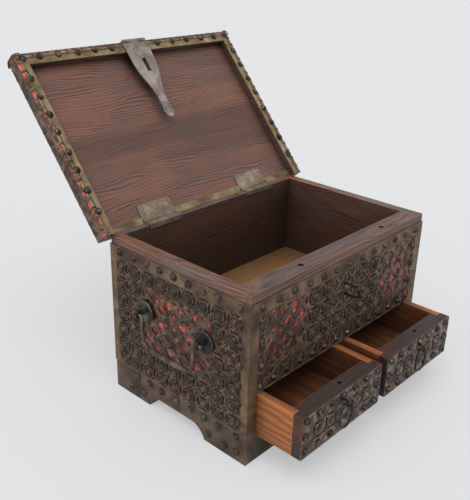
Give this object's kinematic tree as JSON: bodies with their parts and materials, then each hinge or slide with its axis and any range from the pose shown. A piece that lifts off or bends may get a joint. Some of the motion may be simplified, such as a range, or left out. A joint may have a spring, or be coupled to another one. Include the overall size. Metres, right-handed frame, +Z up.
{
  "type": "dowry chest",
  "caption": "Wooden box clad in pierced metal with brass edges, hinged lid with hasp, two pull-out drawers with ring pulls and drop handles at the sides.",
  "frame": {"origin": "middle of the carcass's footprint on the floor", "axes": "+Z up, +X to the right of someone facing the front, +Y from the front to the back"},
  "size_m": [0.4394, 0.5465, 0.4779],
  "materials": {
    "carcass_wood": "old wax",
    "floor_wood": "bare",
    "drawer_wood": "bare",
    "pierced_iron": "dark patina",
    "brass": "dull",
    "hinge_brass": "worn",
    "dark_iron": "black oxide",
    "face_metal": "worn"
  },
  "bodies": {
    "chest": {"left_side_board": "carcass_wood", "right_side_board": "carcass_wood", "back_board": "carcass_wood", "front_board": "carcass_wood", "front_rail": "carcass_wood", "drawer_divider": "carcass_wood", "bottom_board": "carcass_wood", "compartment_floor": "floor_wood", "left_pierced_sheet": "pierced_iron", "right_pierced_sheet": "pierced_iron", "front_pierced_sheet": "pierced_iron", "left_plinth_sheet": "pierced_iron", "right_plinth_sheet": "pierced_iron", "front_plinth_sheet": "pierced_iron", "left_top_strip": "brass", "right_top_strip": "brass", "front_top_strip": "brass", "front_left_angle": "brass", "front_right_angle": "brass", "back_left_angle": "brass", "back_right_angle": "brass", "lock_staple": "dark_iron", "bail_rosettes": "dark_iron", "bail_posts": "dark_iron", "left_hinge_body_leaf": "hinge_brass", "right_hinge_body_leaf": "hinge_brass", "hinge_pins": "hinge_brass"},
    "lid": {"lid_panel": "carcass_wood", "lid_left_moulding": "carcass_wood", "lid_right_moulding": "carcass_wood", "lid_front_moulding": "carcass_wood", "lid_left_strip": "brass", "lid_right_strip": "brass", "lid_front_strip": "brass", "lid_rear_strip": "brass", "lid_cover_sheet": "pierced_iron", "left_hinge_lid_leaf": "hinge_brass", "right_hinge_lid_leaf": "hinge_brass", "hasp_strap": "dark_iron", "hasp_pin": "dark_iron"},
    "hasp": {"hasp": "dark_iron"},
    "left_bail": {"left_bail": "dark_iron"},
    "right_bail": {"right_bail": "dark_iron"},
    "left_drawer": {"left_drawer_front": "drawer_wood", "left_drawer_left_side": "drawer_wood", "left_drawer_right_side": "drawer_wood", "left_drawer_back": "drawer_wood", "left_drawer_bottom": "drawer_wood", "left_drawer_face_sheet": "face_metal", "left_drawer_pull_staple": "dark_iron"},
    "left_ring": {"left_drawer_ring": "dark_iron"},
    "right_drawer": {"right_drawer_front": "drawer_wood", "right_drawer_left_side": "drawer_wood", "right_drawer_right_side": "drawer_wood", "right_drawer_back": "drawer_wood", "right_drawer_bottom": "drawer_wood", "right_drawer_face_sheet": "face_metal", "right_drawer_pull_staple": "dark_iron"},
    "right_ring": {"right_drawer_ring": "dark_iron"}
  },
  "joints": [
    {"name": "lid_hinge", "type": "hinge", "parent": "chest", "child": "lid", "pos_m": [0, 0.13435, 0.25025], "axis": [1, 0, 0], "range_deg": [0, 130.8]},
    {"name": "hasp_hinge", "type": "hinge", "parent": "lid", "child": "hasp", "pos_m": [0, 0.30964, 0.4749], "axis": [1, 0, 0], "range_deg": [-106.7, 0]},
    {"name": "left_drawer_slide", "type": "slide", "parent": "chest", "child": "left_drawer", "axis": [0, 1, 0], "range_m": [-0.1, 0.075]},
    {"name": "right_drawer_slide", "type": "slide", "parent": "chest", "child": "right_drawer", "axis": [0, 1, 0], "range_m": [-0.1, 0.075]},
    {"name": "left_ring_swing", "type": "hinge", "parent": "left_drawer", "child": "left_ring", "pos_m": [-0.0945, -0.21275, 0.087], "axis": [-1, 0, 0], "range_deg": [0, 100]},
    {"name": "right_ring_swing", "type": "hinge", "parent": "right_drawer", "child": "right_ring", "pos_m": [0.0945, -0.21275, 0.087], "axis": [-1, 0, 0], "range_deg": [0, 100]},
    {"name": "left_bail_swing", "type": "hinge", "parent": "chest", "child": "left_bail", "pos_m": [-0.2138, 0, 0.157], "axis": [0, 1, 0], "range_deg": [0, 170]},
    {"name": "right_bail_swing", "type": "hinge", "parent": "chest", "child": "right_bail", "pos_m": [0.2138, 0, 0.157], "axis": [0, -1, 0], "range_deg": [0, 170]}
  ],
  "couplings": [
    {"joint": "hasp_hinge", "follows": "lid_hinge", "ratio": -0.81567}
  ]
}
